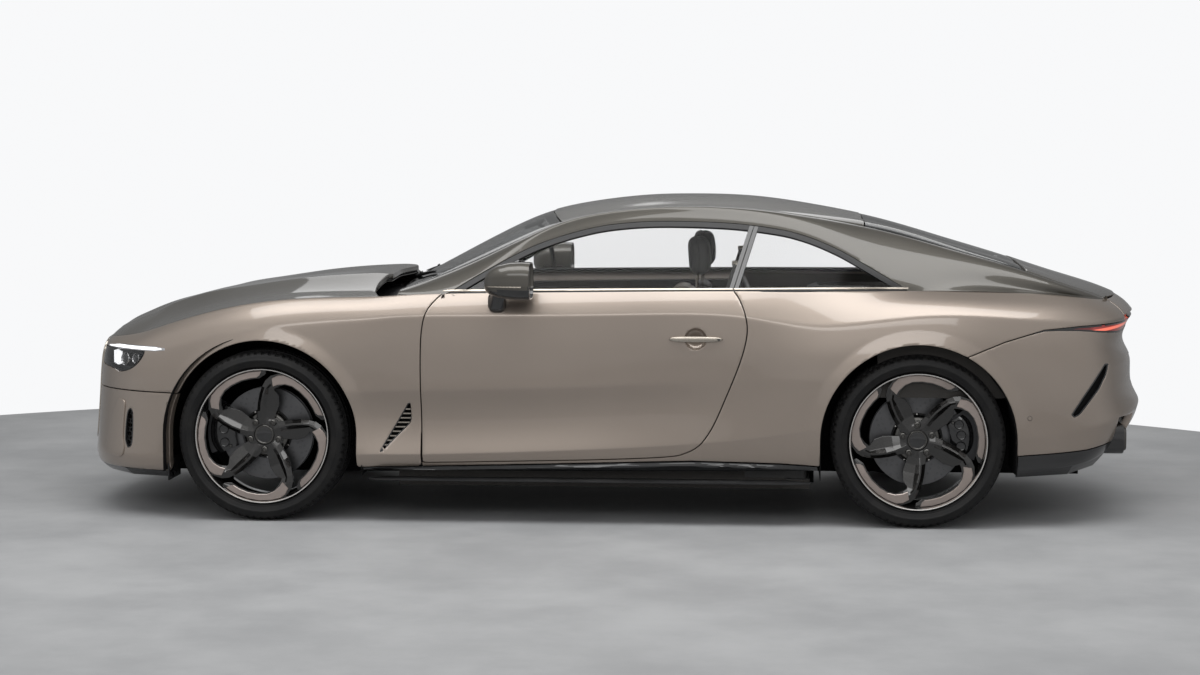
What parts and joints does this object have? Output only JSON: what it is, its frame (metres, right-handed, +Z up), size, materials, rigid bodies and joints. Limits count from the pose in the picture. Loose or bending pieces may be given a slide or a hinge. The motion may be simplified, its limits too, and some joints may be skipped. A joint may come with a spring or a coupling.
{
  "type": "two-door coupe car",
  "caption": "Low two-door grand touring coupe with opening doors, bonnet and boot, steered front wheels and a steering wheel that turns with them.",
  "frame": {"origin": "on the ground under the middle of the overall length, on the centre line", "axes": "-X towards the front of the car, -Y to the car's left side, +Z up"},
  "size_m": [4.8137, 2.238, 1.4179],
  "materials": {
    "body_paint": "satin metallic taupe",
    "roof_paint": "gloss dark brown",
    "gloss_black": "gloss",
    "clear_glass": "tinted",
    "headlamp_lens": "clear lens",
    "tail_lamp_lens": "red lens",
    "rim_paint": "gloss dark metal",
    "tyre_rubber": "matt",
    "disc_iron": "machined",
    "forged_alloy": "satin",
    "structure_steel": "satin black",
    "engine_iron": "cast",
    "black_plastic": "grained",
    "exhaust_steel": "brushed",
    "satin_trim": "satin",
    "dark_trim": "grained",
    "seat_leather": "soft grain"
  },
  "bodies": {
    "body": {"front_fenders": "body_paint", "rear_quarters": "body_paint", "rear_bumper": "body_paint", "front_bumper": "body_paint", "roof_panel": "roof_paint", "roof_rails": "roof_paint", "front_splitter": "gloss_black", "rear_diffuser": "gloss_black", "side_skirts": "gloss_black", "grille": "gloss_black", "windscreen": "clear_glass", "rear_window": "clear_glass", "quarter_windows": "clear_glass", "headlamps": "headlamp_lens", "tail_lamps": "tail_lamp_lens", "suspension_arms": "forged_alloy", "front_subframe": "structure_steel", "rear_subframe": "structure_steel", "firewall": "structure_steel", "door_posts": "structure_steel", "rear_bulkhead": "structure_steel", "boot_floor": "structure_steel", "floor_pan": "structure_steel", "hinges": "structure_steel", "engine_block": "engine_iron", "wheelhouses": "black_plastic", "steering_column": "black_plastic", "exhaust_tips": "exhaust_steel", "dashboard": "dark_trim", "centre_console": "dark_trim", "front_seats": "seat_leather", "rear_seats": "seat_leather"},
    "left_door": {"left_door": "body_paint", "left_door_glass": "clear_glass", "left_mirror": "gloss_black", "left_door_handle": "satin_trim"},
    "right_door": {"right_door": "body_paint", "right_door_glass": "clear_glass", "right_mirror": "gloss_black", "right_door_handle": "satin_trim"},
    "bonnet": {"bonnet": "roof_paint"},
    "boot_lid": {"boot_lid": "roof_paint"},
    "front_left_upright": {"front_left_knuckle": "forged_alloy"},
    "front_right_upright": {"front_right_knuckle": "forged_alloy"},
    "steering_wheel": {"steering_wheel": "dark_trim"},
    "front_left_wheel": {"front_left_rim": "rim_paint", "front_left_tyre": "tyre_rubber", "front_left_brake_disc": "disc_iron"},
    "front_right_wheel": {"front_right_rim": "rim_paint", "front_right_tyre": "tyre_rubber", "front_right_brake_disc": "disc_iron"},
    "rear_left_wheel": {"rear_left_rim": "rim_paint", "rear_left_tyre": "tyre_rubber", "rear_left_brake_disc": "disc_iron"},
    "rear_right_wheel": {"rear_right_rim": "rim_paint", "rear_right_tyre": "tyre_rubber", "rear_right_brake_disc": "disc_iron"}
  },
  "joints": [
    {"name": "left_door_hinge", "type": "hinge", "parent": "body", "child": "left_door", "pos_m": [-0.687, -0.913, 0.62], "axis": [0, 0, -1], "range_deg": [0, 65]},
    {"name": "right_door_hinge", "type": "hinge", "parent": "body", "child": "right_door", "pos_m": [-0.687, 0.913, 0.62], "axis": [0, 0, 1], "range_deg": [0, 65]},
    {"name": "bonnet_hinge", "type": "hinge", "parent": "body", "child": "bonnet", "pos_m": [-0.90412, 0, 0.93], "axis": [0, 1, 0], "range_deg": [0, 50]},
    {"name": "boot_hinge", "type": "hinge", "parent": "body", "child": "boot_lid", "pos_m": [1.67929, 0, 1.08535], "axis": [0, -1, 0], "range_deg": [0, 70]},
    {"name": "left_steer", "type": "hinge", "parent": "body", "child": "front_left_upright", "pos_m": [-1.49, -0.7535, 0.375], "axis": [0, 0, 1], "range_deg": [-35, 35]},
    {"name": "right_steer", "type": "hinge", "parent": "body", "child": "front_right_upright", "pos_m": [-1.49, 0.7535, 0.375], "axis": [0, 0, 1], "range_deg": [-35, 35]},
    {"name": "steering_wheel_turn", "type": "hinge", "parent": "body", "child": "steering_wheel", "pos_m": [-0.34, -0.385, 0.795], "axis": [0.9063, 0, 0.4226], "range_deg": [-460, 460]},
    {"name": "front_left_wheel_spin", "type": "hinge", "parent": "front_left_upright", "child": "front_left_wheel", "pos_m": [-1.49, -0.8235, 0.375], "axis": [0, 1, 0], "continuous": true},
    {"name": "rear_left_wheel_spin", "type": "hinge", "parent": "body", "child": "rear_left_wheel", "pos_m": [1.361, -0.8085, 0.375], "axis": [0, 1, 0], "continuous": true},
    {"name": "front_right_wheel_spin", "type": "hinge", "parent": "front_right_upright", "child": "front_right_wheel", "pos_m": [-1.49, 0.8235, 0.375], "axis": [0, 1, 0], "continuous": true},
    {"name": "rear_right_wheel_spin", "type": "hinge", "parent": "body", "child": "rear_right_wheel", "pos_m": [1.361, 0.8085, 0.375], "axis": [0, 1, 0], "continuous": true}
  ],
  "couplings": [
    {"joint": "right_steer", "follows": "left_steer", "ratio": 1},
    {"joint": "steering_wheel_turn", "follows": "left_steer", "ratio": 13}
  ]
}
